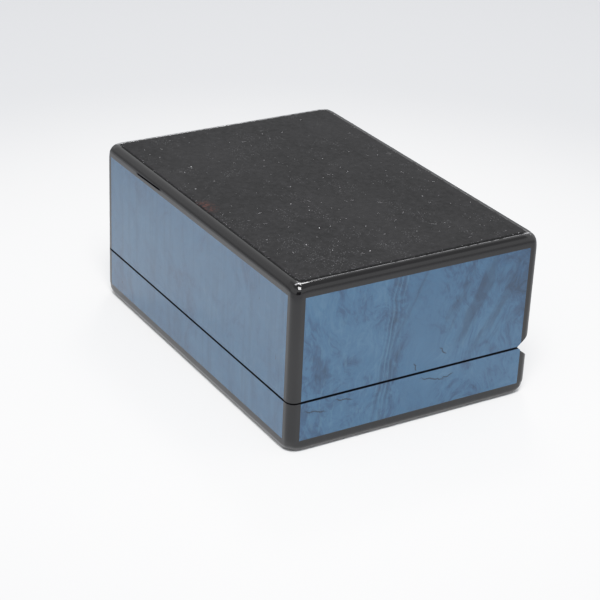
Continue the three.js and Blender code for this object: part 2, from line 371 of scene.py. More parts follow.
def soften(obj):
    """One subdivision, applied."""
    modifier = obj.modifiers.new("subdivision", "SUBSURF")
    modifier.levels = modifier.render_levels = 1
    bake(obj)
    obj.data.shade_smooth()


def reshape(obj, move):
    """Moves every point of a mesh by a function."""
    for vertex in obj.data.vertices:
        vertex.co = move(vertex.co.copy())
    obj.data.update()


# ---- Node helpers ----

class Graph:
    """A node tree, built by calls that take numbers, colours or other nodes' outputs."""

    def __init__(self, tree, coordinates):
        self.tree = tree
        self.place = self.node("TexCoord").outputs[coordinates]

    def feed(self, socket, value):
        if isinstance(value, bpy.types.NodeSocket):
            self.tree.links.new(value, socket)
        elif value is not None:
            socket.default_value = value

    def feed_named(self, node, inputs):
        """Underscores in a name stand for spaces."""
        for name, value in inputs.items():
            self.feed(node.inputs[name.replace("_", " ")], value)

    def node(self, kind, *values, operation=None, **inputs):
        """A node whose inputs are fed in order or by name."""
        node = self.tree.nodes.new(f"ShaderNode{kind}")
        if operation:
            node.operation = operation
        for socket, value in zip(node.inputs, values):
            self.feed(socket, value)
        self.feed_named(node, inputs)
        return node

    def math(self, operation, *values):
        return self.node("Math", *values, operation=operation).outputs[0]

    plus = partialmethod(math, "ADD")
    minus = partialmethod(math, "SUBTRACT")
    times = partialmethod(math, "MULTIPLY")
    scaled = partialmethod(math, "MULTIPLY_ADD")  # value, factor, offset
    larger = partialmethod(math, "MAXIMUM")
    absolute = partialmethod(math, "ABSOLUTE")
    above = partialmethod(math, "GREATER_THAN")  # 1 or 0: value, limit

    def product(self, *values):
        return reduce(self.times, values)

    def fade(self, value, full, none):
        """1 at full, 0 at none, smooth between them."""
        node = self.node("MapRange", Value=value, From_Min=none, From_Max=full)
        node.interpolation_type = "SMOOTHSTEP"
        return node.outputs["Result"]

    def band(self, value, middle, half_width, softness):
        """1 within half_width of the middle, falling to 0 over the softness."""
        away = self.absolute(self.minus(value, middle))
        return self.fade(away, half_width, half_width + softness)

    def axes(self):
        return self.node("SeparateXYZ", self.place).outputs

    def combine(self, x, y, z):
        return self.node("CombineXYZ", x, y, z).outputs[0]

    def mapped(self, scale, source=None):
        return self.node("Mapping", Vector=source or self.place, Scale=scale).outputs[0]

    def vector(self, operation, *values, output=0, **inputs):
        return self.node("VectorMath", *values, operation=operation, **inputs).outputs[output]

    distance = partialmethod(vector, "DISTANCE", output=1)

    def noise(self, scale, vector=None, detail=4, roughness=0.5, distortion=0.0, output="Fac"):
        node = self.node("TexNoise", Vector=vector or self.place, Scale=scale, Detail=detail,
                         Roughness=roughness, Distortion=distortion)
        return node.outputs[output]

    def grain(self, scale, source=None, **texture):
        """Noise with a scale of its own for each axis."""
        return self.noise(1, self.mapped(scale, source), **texture)

    def streaks(self, across, along, seed, **texture):
        """Noise over two values, each given with its scale."""
        place = self.combine(self.product(*across), self.product(*along), seed)
        return self.noise(1, place, **texture)

    def cells(self, scale):
        """Distance from the nearest of many scattered points."""
        return self.node("TexVoronoi", Vector=self.place, Scale=scale).outputs["Distance"]

    def wave(self, value, scale):
        """Even lines along a value: 1 on a line, 0 between two."""
        return self.node("TexWave", Vector=self.combine(value, 0.0, 0.0), Scale=scale).outputs["Fac"]

    def ramp(self, value, *stops):
        """Maps a value through stops of (position, brightness or colour)."""
        node = self.node("ValToRGB", value)
        elements = node.color_ramp.elements
        while len(elements) < len(stops):
            elements.new(0.5)
        for element, (position, colour) in zip(elements, stops):
            element.position = position
            element.color = (*colour, 1) if isinstance(colour, tuple) else (colour,) * 3 + (1,)
        return node.outputs["Color"]

    def mix(self, factor, a, b):
        """From a to b, both colours, as the factor goes from 0 to 1."""
        node = self.node("Mix", Factor=factor)
        node.data_type = "RGBA"
        colours = [s for s in node.inputs if s.type == "RGBA"]
        for socket, value in zip(colours, (a, b)):
            self.feed(socket, (*value, 1) if isinstance(value, tuple) else value)
        return next(s for s in node.outputs if s.type == "RGBA")

    def bump(self, height, strength, distance, normal=None):
        inputs = {"Height": height, "Strength": strength, "Distance": distance, "Normal": normal}
        return self.node("Bump", **inputs).outputs[0]


class Material(Graph):
    """A material with one Principled shader."""

    def __init__(self, name):
        self.material = bpy.data.materials.new(name)
        self.material.use_nodes = True
        self.material.node_tree.nodes.clear()
        super().__init__(self.material.node_tree, "Object")
        self.shader = self.node("BsdfPrincipled")
        self.node("OutputMaterial", Surface=self.shader.outputs[0])

    def finish(self, **inputs):
        self.feed_named(self.shader, inputs)
        return self.material


# ---- Materials ----

def black_lacquer():
    """Black under a deep clear coat. The saw-cut faces and the edges beside them are flatted, and darkened
    as painted shade along the seam.
    """
    g = Material("black_lacquer")
    x, y, z = g.axes()
    haze = g.noise(70, roughness=0.6)
    ripple = g.bump(g.noise(75, detail=1), 0.06, 0.3 * MM)
    wipe_marks = g.grain((900, 900, 120), detail=2)
    base = g.mix(haze, (0.0035, 0.0034, 0.0040), (0.0060, 0.0056, 0.0060))

    # Dust and wear on the arris round the felt's recess, in dashes, together with a painted highlight: the
    # lighter grey also stands in for the glint along the arris
    across_ends = g.band(g.absolute(x), END - RIM_ENDS + 0.2 * MM, 0.26 * MM, 0.12 * MM)
    along_sides = g.band(g.absolute(y), SIDE - RIM_SIDES + 0.1 * MM, 0.12 * MM, 0.1 * MM)
    on_arris = g.larger(across_ends, g.product(along_sides, 0.4))
    dashes = g.fade(g.noise(330, roughness=0.7), 0.54, 0.36)
    dust_and_glint = g.product(on_arris, g.above(z, HEIGHT - 0.5 * MM), dashes, 0.8)
    # Mixes in light grey: dust, and a painted highlight along the arris
    base = g.mix(dust_and_glint, base, (0.36, 0.36, 0.37))

    # A fine open joint in the front bead, painted as the shade in its gap, and the sawn faces: black and
    # flatted, with painted shade on the edges beside them along the seam
    joint_z = g.scaled(g.minus(x, OPEN_JOINT_X), JOINT_SLOPE, BASE_BEAD_Z + JOINT_RISE)
    in_front = g.math("LESS_THAN", y, -SIDE + 1.5 * MM)
    # Painted shade where the open joint's gap is
    open_joint_shade = g.product(g.band(x, OPEN_JOINT_X, 9 * MM, 3 * MM), in_front,
                           g.band(g.minus(z, joint_z), 0.0, 0.34 * MM, 0.12 * MM))
    sawn_and_seam_shade = g.band(z, SEAM, 0.35 * MM, 0.12 * MM)
    dull = g.larger(g.product(sawn_and_seam_shade, 0.5), open_joint_shade)
    # Painted shade: near-black in the open joint and along the seam
    base = g.mix(dull, base, (0.002, 0.002, 0.003))
    coat_roughness = g.plus(g.scaled(wipe_marks, 0.04, 0.03), g.product(sawn_and_seam_shade, 0.14))
    return g.finish(Base_Color=base, Roughness=0.35, Specular_IOR_Level=0.0, Coat_IOR=1.47,
                    Coat_Weight=g.minus(1.0, dull), Coat_Roughness=coat_roughness, Coat_Normal=ripple)


def vein_bundle(g, across, height, middle, lean, half_width, spacing, seed):
    """Growth lines that run up the panel and wander together: how dark, and how light between them."""
    wander = g.noise(1, g.combine(seed, g.product(height, 38), 0.0), detail=2)
    centre = g.scaled(height, lean, g.scaled(wander, 7 * MM, middle - 3.5 * MM))
    offset = g.minus(across, centre)
    ripple = g.streaks((offset, 210), (height, 42), seed, detail=2)
    offset = g.plus(offset, g.scaled(ripple, 3.8 * MM, -1.9 * MM))
    lines = g.wave(offset, WAVE_PITCH / spacing)
    dark = g.ramp(lines, (0.0, 1.0), (0.24, 0.5), (0.75, 0.28), (1.0, 0.0))
    light = g.ramp(lines, (0.72, 0.0), (1.0, 1.0))
    # Each line is stronger in one place and fainter in another.
    vigour = g.fade(g.streaks((offset, 420), (height, 34), seed + 3, detail=2), 0.60, 0.38)
    within = g.band(offset, 0.0, half_width * 0.4, half_width * 0.6)
    within = g.product(within, g.scaled(vigour, 0.75, 0.35))
    return g.product(dark, within), g.product(light, within)


def turned(g, across, height, angle):
    """Two coordinates of a panel in axes turned by an angle: along them and away from them."""
    cos, sin = math.cos(angle), math.sin(angle)
    along = g.plus(g.product(across, cos), g.product(height, sin))
    return along, g.minus(g.product(height, cos), g.product(across, sin))


def hair_crack(g, across, height, start, end):
    """A crooked crack between two points of a panel, tapering to both ends."""
    run, rise = end[0] - start[0], end[1] - start[1]
    length = math.hypot(run, rise)
    from_start = g.minus(across, start[0]), g.minus(height, start[1])
    along, away = turned(g, *from_start, math.atan2(rise, run))
    crooked = g.noise(1, g.combine(g.product(along, 420), 3.0, 0.0), detail=3, roughness=0.7)
    away = g.plus(away, g.scaled(crooked, 2.6 * MM, -1.3 * MM))
    tapered = g.band(along, length / 2, length * 0.2, length * 0.3)
    return g.product(g.band(away, 0.0, 0.10 * MM, 0.34 * MM), tapered)


def feather(g, across, height):
    """A patch of darker streaks that fan up and away from the seam, on the end panels."""
    along, away = turned(g, across, height, FEATHER_LEAN)
    over = g.minus(0.0, away)
    over = g.scaled(g.streaks((along, 45), (over, 30), 2.0, detail=2), 9 * MM, over)
    dark = g.fade(g.streaks((over, 210), (along, 26), 7.0, roughness=0.6), 0.63, 0.42)
    from_centre = g.distance(g.combine(across, height, 0.0), FEATHER_CENTRE)
    return g.product(dark, g.fade(from_centre, 12 * MM, 27 * MM))


def burl_figure(g):
    """Shade of the dyed wood from 0, dark, to 1, light: a field in space, so it crosses the saw cut."""
    swirl = g.vector("SUBTRACT", g.noise(30, detail=3, output="Color"), (0.5, 0.5, 0.5))
    place = g.vector("ADD", g.place, g.vector("SCALE", swirl, Scale=34 * MM))
    clouds = g.noise(26, place, detail=3)
    blotches = g.noise(95, g.mapped((1, 1, 0.6), place), detail=5, roughness=0.62, distortion=0.8)
    curls = g.noise(300, g.mapped((1, 1, 0.5), place), roughness=0.65, distortion=1.8)
    fibres = g.grain((1500, 1500, 110), place, detail=3, roughness=0.65)
    broad = g.plus(clouds, g.product(blotches, 1.35))
    return g.plus(broad, g.scaled(curls, 0.75, g.scaled(fibres, 0.22, -1.16)))


def blue_veneer():
    """Blue-dyed burl under clear lacquer."""
    g = Material("blue_veneer")
    x, y, z = g.axes()
    on_ends = g.above(g.absolute(x), END - 1 * MM)
    shade = burl_figure(g)
    # The wood is plainer between the growth lines and the feather, and on the long sides.
    calm = g.product(on_ends, g.band(y, 2 * MM, 5 * MM, 7 * MM), 0.6)
    calm = g.larger(calm, g.scaled(on_ends, -0.45, 0.45))
    shade = g.mix(calm, shade, (0.56, 0.56, 0.56))
    colour = g.ramp(shade, *BLUES)

    # Growth lines on the ends: an upright bundle, a branch that leans into it, and the feather
    bundle, between = vein_bundle(g, y, z, -16 * MM, 0.10, 4.9 * MM, 2.1 * MM, 0.0)
    branch = vein_bundle(g, y, z, -27.5 * MM, 0.46, 2.6 * MM, 2.8 * MM, 5.0)[0]
    upper = g.fade(z, 48 * MM, 32 * MM)
    lines = g.scaled(bundle, 0.60, g.product(branch, 0.60, upper))
    lines = g.math("MINIMUM", g.scaled(feather(g, y, z), 0.60, lines), 1.0)
    # Upright streaks on the long sides
    side_lines = g.ramp(g.grain((300, 300, 18), roughness=0.62), (0.48, 0.0), (0.70, 0.34))
    lines = g.product(g.mix(on_ends, side_lines, lines), 0.85)
    colour = g.mix(lines, colour, (0.011, 0.028, 0.058))
    # Pale strokes between the growth lines and towards the front
    strokes = g.fade(g.grain((420, 420, 130), roughness=0.6), 0.68, 0.52)
    strokes = g.product(strokes, g.fade(y, -16 * MM, 4 * MM), 0.42)
    pale = g.product(on_ends, g.larger(strokes, g.product(between, 0.45)))
    colour = g.mix(pale, colour, (0.052, 0.122, 0.190))

    cracks = 0.0
    for start, end in CRACKS:
        cracks = g.larger(cracks, hair_crack(g, y, z, start, end))
    ticks = g.fade(g.grain((900, 900, 150), detail=2), 0.80, 0.75)
    marks = g.larger(g.product(cracks, on_ends, 0.8), g.product(ticks, 0.6))
    colour = g.mix(marks, colour, (0.004, 0.009, 0.018))

    # The blackened edge along the saw cut, widened by painted shade along the seam
    sawn_and_seam_shade = g.band(z, SEAM, 0.43 * MM, 0.16 * MM)
    # Near-black along the seam: the blackened cut edge and painted shade beside it
    colour = g.mix(sawn_and_seam_shade, colour, (0.002, 0.003, 0.006))
    ripple = g.bump(g.noise(75, detail=1), 0.05, 0.3 * MM)
    return g.finish(Base_Color=colour, Roughness=0.5, Specular_IOR_Level=0.0, Coat_IOR=1.5,
                    Coat_Weight=g.scaled(sawn_and_seam_shade, -0.85, 1.0), Coat_Normal=ripple,
                    Coat_Roughness=g.scaled(sawn_and_seam_shade, 0.3, 0.035))


def black_felt():
    """Matted black felt with settled dust and a faint rusty stain near the front edge."""
    g = Material("black_felt")
    matted = g.noise(420, detail=6, roughness=0.7)
    cloud = g.ramp(g.noise(38, detail=3), (0.4, 0.0), (0.7, 0.3))
    tone = g.ramp(matted, (0.28, (0.006, 0.006, 0.0064)), (0.72, (0.019, 0.0187, 0.020)))
    tone = g.mix(cloud, tone, (0.024, 0.0235, 0.025))
    from_stain = g.distance(g.mapped((1, STAIN_STRETCH, 0)), (STAIN_X, STAIN_STRETCH * STAIN_Y, 0))
    stain = g.product(g.fade(from_stain, 1.5 * MM, 8 * MM), g.ramp(g.noise(900), (0.45, 0.0), (0.70, 0.55)))
    tone = g.mix(stain, tone, (0.12, 0.036, 0.026))
    # Dust caught in the nap, most of it near the front right corner
    settled = g.fade(g.distance(g.place, DUSTY_CORNER), 20 * MM, 110 * MM)
    sparse = g.plus(g.noise(110, detail=3), g.product(settled, 0.09))
    fine_dust = g.product(g.fade(g.cells(1100), 0.10, 0.30), g.fade(sparse, 0.66, 0.50), 0.16)
    patches = g.fade(g.noise(210, detail=2), 0.62, 0.54)
    coarse_dust = g.product(g.fade(g.cells(420), 0.05, 0.13), patches, 0.22)
    tone = g.mix(g.larger(fine_dust, coarse_dust), tone, (0.42, 0.42, 0.44))
    nap = g.bump(g.noise(2600, detail=3), 0.5, 0.12 * MM, g.bump(matted, 0.35, 0.3 * MM))
    return g.finish(Base_Color=tone, Roughness=1.0, Specular_IOR_Level=0.1, Sheen_Weight=0.06,
                    Sheen_Roughness=0.5, Normal=nap)


def sand_suede():
    """Microfibre suede over card: a short nap, brushed lighter and darker in soft patches."""
    g = Material("suede")
    brushed = g.noise(55, detail=3, distortion=0.6)
    fibres = g.noise(2600, roughness=0.7)
    tone = g.ramp(brushed, (0.35, (0.40, 0.325, 0.235)), (0.65, (0.50, 0.415, 0.305)))
    tone = g.mix(g.ramp(fibres, (0.35, 0.0), (0.7, 0.45)), tone, (0.58, 0.49, 0.37))
    nap = g.bump(fibres, 0.5, 0.10 * MM, g.bump(g.noise(500, detail=3), 0.25, 0.2 * MM))
    return g.finish(Base_Color=tone, Roughness=0.95, Specular_IOR_Level=0.15, Sheen_Weight=0.35,
                    Sheen_Roughness=0.6, Normal=nap)


def cream_satin():
    """Satin with fine slubbed threads and a soft sheen."""
    g = Material("satin")
    warp = g.grain((9000, 260, 260), detail=2, roughness=0.6)
    weft = g.grain((240, 7000, 7000), detail=2, roughness=0.6)
    threads = g.scaled(warp, 0.6, g.product(weft, 0.4))
    shading = g.ramp(g.noise(30, detail=2), (0.4, 0.0), (0.7, 0.25))
    tone = g.ramp(threads, (0.35, (0.50, 0.425, 0.315)), (0.62, (0.63, 0.555, 0.43)))
    tone = g.mix(shading, tone, (0.67, 0.60, 0.475))
    return g.finish(Base_Color=tone, Roughness=g.scaled(threads, 0.25, 0.26), Specular_IOR_Level=0.55,
                    Anisotropic=0.5, Sheen_Weight=0.25, Sheen_Roughness=0.35,
                    Normal=g.bump(threads, 0.35, 0.05 * MM))


def brushed_metal(name, light, dark, roughness):
    """Metal drawn along X, with fine scratches and a little tarnish."""
    g = Material(name)
    drawn = g.grain((60, 5200, 5200), detail=3, roughness=0.65)
    tarnish = g.noise(190, roughness=0.6)
    tone = g.mix(g.ramp(tarnish, (0.42, 0.0), (0.72, 0.65)), light, dark)
    dull = g.plus(g.scaled(drawn, 0.16, roughness), g.product(tarnish, 0.08))
    return g.finish(Base_Color=tone, Metallic=1.0, Anisotropic=0.4, Roughness=dull,
                    Normal=g.bump(drawn, 0.18, 0.03 * MM))


def lint_white():
    """Hairs and dust, some of them grey."""
    g = Material("lint")
    tone = g.mix(g.noise(240, detail=1), (0.16, 0.16, 0.17), (0.80, 0.80, 0.82))
    return g.finish(Base_Color=tone, Roughness=0.8, Sheen_Weight=0.3)


MATERIALS = {
    "black_lacquer": black_lacquer(), "blue_veneer": blue_veneer(), "black_felt": black_felt(),
    "suede": sand_suede(), "satin": cream_satin(),
    "brass": brushed_metal("brass", (0.70, 0.50, 0.22), (0.42, 0.28, 0.11), 0.20),
    "steel_pin": brushed_metal("steel", (0.56, 0.56, 0.57), (0.34, 0.33, 0.32), 0.22),
}


def dress_cad_nodes():
    """Every CAD node gets its slot's material and smooth rounds."""
    for part in frame["record"]["subparts"]:
        obj = frame["nodes"][part["node"]]
        obj.data.materials.clear()
        obj.data.materials.append(MATERIALS[part["material_slot"]])
        obj.data.shade_smooth()
        obj.modifiers.new("weld", "WELD").merge_threshold = 0.005 * MM
        obj.modifiers.new("sharp_edges", "EDGE_SPLIT").split_angle = math.radians(30)
        weighted_normals(obj)


# ---- Beads ----

def bead_loop(inset, z, corner=None):
    """A ring of an edge frame, inset from the box's outer faces."""
    if corner is None:
        corner = max(CORNER_ROUND - inset, LEAST_ROUND)
    return rounded_loop(END - inset, SIDE - inset, corner, z, EASED_RUNS)


def round_over(face_z, towards):
    """Rings of the round-over, from the side faces to the outer face. Towards the box is 1 (up) or -1."""
    for angle in quarter(ROUND_STEPS):
        drop = EDGE_RADIUS * (1 - math.sin(angle))
        yield bead_loop(EDGE_RADIUS * (1 - math.cos(angle)), face_z + towards * drop)


def recess_edge():
    """Rings from the underside over the arris and down into the felt's recess."""
    for angle in quarter(ARRIS_STEPS):
        reach = ARRIS * (1 - math.sin(angle))
        yield rounded_loop(END - RIM_ENDS + reach, SIDE - RIM_SIDES + reach, RECESS_CORNER + reach,
                           HEIGHT - ARRIS * (1 - math.cos(angle)), EASED_RUNS)
    yield rounded_loop(END - RIM_ENDS, SIDE - RIM_SIDES, RECESS_CORNER, RECESS_Z, EASED_RUNS)


def ease_corners(obj, half):
    """Sands the outer corners rounder: the nearer a point is to one, the further it is drawn in."""
    face_z, towards, amount = (HEIGHT, -1, BASE_CORNER_EASE) if half == "base" else (0, 1, LID_CORNER_EASE)

    def ease(point):
        pull = amount / math.sqrt(3)
        for distance in (END - abs(point.x), SIDE - abs(point.y), abs(face_z - point.z)):
            pull *= max(0, 1 - distance / CORNER_REACH) ** 2
        return point + pull * Vector((-math.copysign(1, point.x), -math.copysign(1, point.y), towards))

    reshape(obj, ease)


def edge_frame(half, loops):
    """The black frame round the outer face of one half, lofted from its rings."""
    obj = loft(f"{half}_bead_frame", loops, closed=True)
    ease_corners(obj, half)
    weighted_normals(obj)
    place(obj, half, "black_lacquer", f"{half}_edge_frame")


def bevel_height(bevel, depth):
    """Height of a bevel's surface at a depth in from the rear face."""
    rounding, angle = bevel["round"], bevel["angle"]
    tangent = rounding * math.tan((math.pi / 2 - angle) / 2)
    run_out = GROOVE_DEPTH * math.tan(angle) + tangent
    if depth < rounding * (1 - math.sin(angle)):
        rise = run_out - math.sqrt(rounding ** 2 - (rounding - depth) ** 2)
    else:
        rise = max(GROOVE_DEPTH - depth, 0) * math.tan(angle)
    return bevel["seam"] + bevel["rise"] * rise


def corner_bead(half, y_sign, x_sign, bead_z, bevel):
    """A quarter-round bar, in slices along Y. At the rear its seam end follows the groove."""
    inner = END - CORNER
    outline = [(CORNER, END), (CORNER_ROUND + CORNER_STRIP, END)]
    outline += [(CORNER_ROUND * (1 - math.sin(angle)), END - CORNER_ROUND * (1 - math.cos(angle)))
                for angle in quarter(ARC_STEPS)]
    slices = []
    for depth, reach in outline:
        end_z = bevel_height(bevel, depth) if y_sign > 0 else bevel["seam"]
        levels = [bead_z - bevel["rise"] * lift for lift in EASED_LEVELS] + [end_z]
        ring = [(inner, bead_z)] + [(reach, z) for z in levels] + [(inner, end_z)]
        slices.append([(x_sign * x, y_sign * (SIDE - depth), z) for x, z in ring])
    side = "rear" if y_sign > 0 else "front"
    end = "right" if x_sign > 0 else "left"
    obj = loft(f"{half}_corner_bead_{side}_{end}", slices)
    ease_corners(obj, half)
    place(obj, half, "black_lacquer", f"{half}_corner_{side}_{end}")


def build_beads():
    inside = [bead_loop(RIM, z, INNER_CORNER) for z in (RECESS_Z, BASE_BEAD_Z)]
    edge_frame("base", [bead_loop(0, BASE_BEAD_Z), *round_over(HEIGHT, -1), *recess_edge(), *inside])
    inside = [bead_loop(RIM, z, INNER_CORNER) for z in (0, LID_BEAD_Z)]
    edge_frame("lid", [bead_loop(0, LID_BEAD_Z), *round_over(0, 1), *inside])
    for y_sign in (-1, 1):
        for x_sign in (-1, 1):
            corner_bead("base", y_sign, x_sign, BASE_BEAD_Z, BASE_BEVEL)
            corner_bead("lid", y_sign, x_sign, LID_BEAD_Z, LID_BEVEL)


# ---- Felt ----

def felt_pad():
    """The cut sheet of felt, with a soft upper edge and a slightly wavy outline."""
    low, top = FELT_LOW.z, FELT_HIGH.z
    loops = [rounded_loop(FELT_HIGH.x - 0.1 * MM, FELT_HIGH.y - 0.1 * MM, FELT_CORNER, low)]
    profile = [(FELT_ROUND * (1 - math.cos(angle)), FELT_ROUND * (1 - math.sin(angle)))
               for angle in quarter(6)]
    profile += [(inset, 0.0) for inset in FELT_INSETS]
    for inset, drop in profile:
        corner = max(FELT_CORNER - inset, 0.4 * MM)
        loops.append(rounded_loop(FELT_HIGH.x - inset, FELT_HIGH.y - inset, corner, top - drop))
    pad = loft("felt_pad", loops)

    def press(point):
        """Draws the cut edge in and down a little, unevenly."""
        if point.z < low + FELT_ROUND:
            return point
        edge = min(FELT_HIGH.x - abs(point.x), FELT_HIGH.y - abs(point.y))
        fall = 1 - min(edge / FELT_PRESSED, 1)
        inwards = 0.07 * MM * fall * (1 + noise.noise(point * 260))
        point.x -= math.copysign(inwards, point.x)
        point.y -= math.copysign(inwards, point.y)
        point.z -= 0.05 * MM * (1 + noise.noise(point * 900)) * fall
        return point

    reshape(pad, press)
    place(pad, "base", "black_felt", "underside_felt")


def fibre(random, x, y, z, length, thickness):
    """A curled hair that lies on the felt."""
    heading = random.uniform(0, 2 * math.pi)
    bend = random.normal(0, 1.3)
    path = []
    point = Vector((x, y, z))
    for step in range(7):
        path.append(point.copy())
        angle = heading + bend * step / 6
        point = point + Vector((math.cos(angle), math.sin(angle), 0)) * length / 6
        point.z = z + 0.05 * MM * math.sin(step / 6 * math.pi)
    return tube("hair", path, thickness, sides=5)


def fleck(random, x, y, z, size):
    """A crumb of dust: a squashed, uneven bead."""
    loops = []
    stretch = random.uniform(0.6, 1.6)
    turn = random.uniform(0, math.pi)
    for level, reach in ((0.0, 0.55), (0.35, 1.0), (0.7, 0.6)):
        ring = []
        for angle in turns(6):
            px, py = size * reach * stretch * math.cos(angle), size * reach * math.sin(angle)
            ring.append((x + px * math.cos(turn) - py * math.sin(turn),
                         y + px * math.sin(turn) + py * math.cos(turn), z + level * size))
        loops.append(ring)
    return loft("fleck", loops)


def felt_lint():
    """Hairs and dust on the felt, more towards the front right corner, and hairs along its edge."""
    random = np.random.default_rng(11)
    top = FELT_HIGH.z
    reach_x, reach_y = FELT_HIGH.x - 1 * MM, FELT_HIGH.y - 1 * MM
    pieces = []
    while len(pieces) < LINT_PIECES:
        x, y = random.uniform(-reach_x, reach_x), random.uniform(-reach_y, reach_y)
        nearness = 0.5 + 0.25 * x / reach_x - 0.25 * y / reach_y
        if random.random() > 0.15 + 0.85 * nearness ** 1.5:
            continue
        if random.random() < 0.26:
            length, thickness = random.uniform(0.7, 2.6) * MM, random.uniform(0.010, 0.026) * MM
            pieces.append(fibre(random, x, y, top, length, thickness))
        else:
            size = random.exponential(0.045) * MM + 0.05 * MM
            pieces.append(fleck(random, x, y, top - 0.02 * MM, size))
    for _ in range(EDGE_HAIRS):
        along = random.uniform(-1, 1)
        if random.random() < 0.5:
            x, y = math.copysign(FELT_HIGH.x - 0.2 * MM, random.uniform(-0.4, 1)), along * reach_y
        else:
            x, y = along * reach_x, math.copysign(FELT_HIGH.y - 0.2 * MM, random.uniform(-1, 0.4))
        pieces.append(fibre(random, x, y, top, random.uniform(0.4, 1.2) * MM, 0.016 * MM))
    place(join("felt_lint", pieces), "base", "black_felt", material=lint_white())


# ---- Inside ----

def covered_cards():
    """Linings, dividers and platform: card and board wrapped in suede, with round edges."""
    sides = ("front", "rear", "left", "right")
    linings = [f"{half}_lining_{side}" for half in ("lid", "base") for side in sides]
    for node in linings + list(BOARD_ROUNDS):
        low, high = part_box(node)
        radius = BOARD_ROUNDS.get(node, CARD_ROUND)
        obj = rounded_box(f"{node}_covered", low, high, radius, uneven=0.05 * MM)
        place(obj, "lid" if node.startswith("lid") else "base", "suede", node)


def lid_cushion():
    """A satin panel over wadding, corded round its edge. The card is glued down, and the cloth swells."""
    low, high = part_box("lid_satin_pad")
    spread = Vector((0.6, 0.6, 0)) * MM
    start = Vector((high.x, high.y, low.z + 3.4 * MM)) + spread
    pad = rounded_box("lid_satin_cushion", low - spread, start, 1.3 * MM, pitch=4 * MM)

    def glued(point):
        from_edge = min(start.x - abs(point[0]), start.y - abs(point[1]))
        return point[2] < low.z + 0.9 * MM or (from_edge < 0.7 * MM and point[2] < low.z + 2.4 * MM)

    inflate(pad, 1.3 * MM, 2.0 * MM, spare=0.045, pressure=3.0, held=glued, seed=3)
    soften(pad)
    place(pad, "lid", "satin", "lid_satin_pad")
    edge = rounded_loop(start.x - 0.3 * MM, start.y - 0.3 * MM, 2 * MM, low.z + 2.6 * MM)
    edge = [Vector(point) for point in edge]
    corded = []
    for index, point in enumerate(edge):
        following = edge[(index + 1) % len(edge)]
        steps = max(1, round((following - point).length / (2 * MM)))
        corded += [point.lerp(following, step / steps) for step in range(steps)]
    corded = [p for i, p in enumerate(corded) if (p - corded[i - 1]).length > 0.05 * MM]
    piping = tube("lid_cushion_piping", corded, 0.7 * MM, closed=True)
    place(piping, "lid", "satin")


def ring_rolls():
    """Padded satin rolls with gathered ends. Rings are held in the nips between them."""
    steps = 40
    for index in range(1, 5):
        low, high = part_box(f"ring_roll_{index}")
        middle, radius = (low + high) / 2, (high.z - low.z) / 2 - 0.45 * MM
        reach = (high.x - low.x) / 2 - 0.3 * MM
        shoulder = -reach + 1.8 * MM
        profile = [(-reach, 0.35), (-reach + 0.5 * MM, 0.75), (shoulder, 1.0)]
        profile += [(shoulder + (2 * reach - 3.6 * MM) * i / steps, 1.0) for i in range(1, steps)]
        profile += [(-x, size) for x, size in reversed(profile[:3])]
        loops = [[middle + Vector((x, size * radius * math.cos(t), size * radius * math.sin(t)))
                  for t in turns(24)] for x, size in profile]
        roll = loft(f"ring_roll_padded_{index}", loops)
        inflate(roll, 1.0 * MM, 0.55 * MM, spare=0.05, pressure=3.0, seed=20 + index)
        soften(roll)
        place(roll, "base", "satin", f"ring_roll_{index}")


def section_of(obj, x, middle):
    """Points round an object's cross-section at x, found by looking inwards from all round."""
    tree = BVHTree.FromPolygons([v.co for v in obj.data.vertices], [p.vertices for p in obj.data.polygons])
    outwards = [Vector((0, math.cos(angle), math.sin(angle))) for angle in turns(64)]
    centre = Vector((x, middle.y, middle.z))
    return [tree.ray_cast(centre + outward * 60 * MM, -outward)[0] for outward in outwards]


def pillow():
    """A bracelet pillow: stuffed satin with a piped seam near each end."""
    low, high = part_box("bracelet_pillow")
    inset = Vector((1.3, 1.3, 1.6)) * MM
    body = rounded_box("bracelet_pillow_stuffed", low + inset, high - inset, 6.5 * MM)
    inflate(body, 1.1 * MM, 2.2 * MM, spare=0.035, pressure=4.0, seed=7)
    middle = (low + high) / 2
    seams = [middle.x + side * ((high.x - low.x) / 2 - 8 * MM) for side in (-1, 1)]

    def gather(point):
        """The seam pulls the cloth in, in small gathers."""
        pull = sum(math.exp(-((point.x - seam) / (1.5 * MM)) ** 2) for seam in seams)
        nearby = sum(math.exp(-((point.x - seam) / (5 * MM)) ** 2) for seam in seams)
        angle = math.atan2(point.z - middle.z, point.y - middle.y)
        pucker = 0.12 * MM * nearby * math.sin(46 * angle + 2 * math.sin(3 * angle))
        outward = Vector((0, point.y - middle.y, point.z - middle.z)).normalized()
        return point + outward * (pucker - 0.8 * MM * pull)

    soften(body)
    reshape(body, gather)
    place(body, "base", "satin", "bracelet_pillow")
    for side, seam in zip(("left", "right"), seams):
        ring = section_of(body, seam, middle)
        piping = tube(f"pillow_piping_{side}", ring, 0.55 * MM, closed=True, sides=10)
        place(piping, "base", "satin")


# ---- Hinges ----

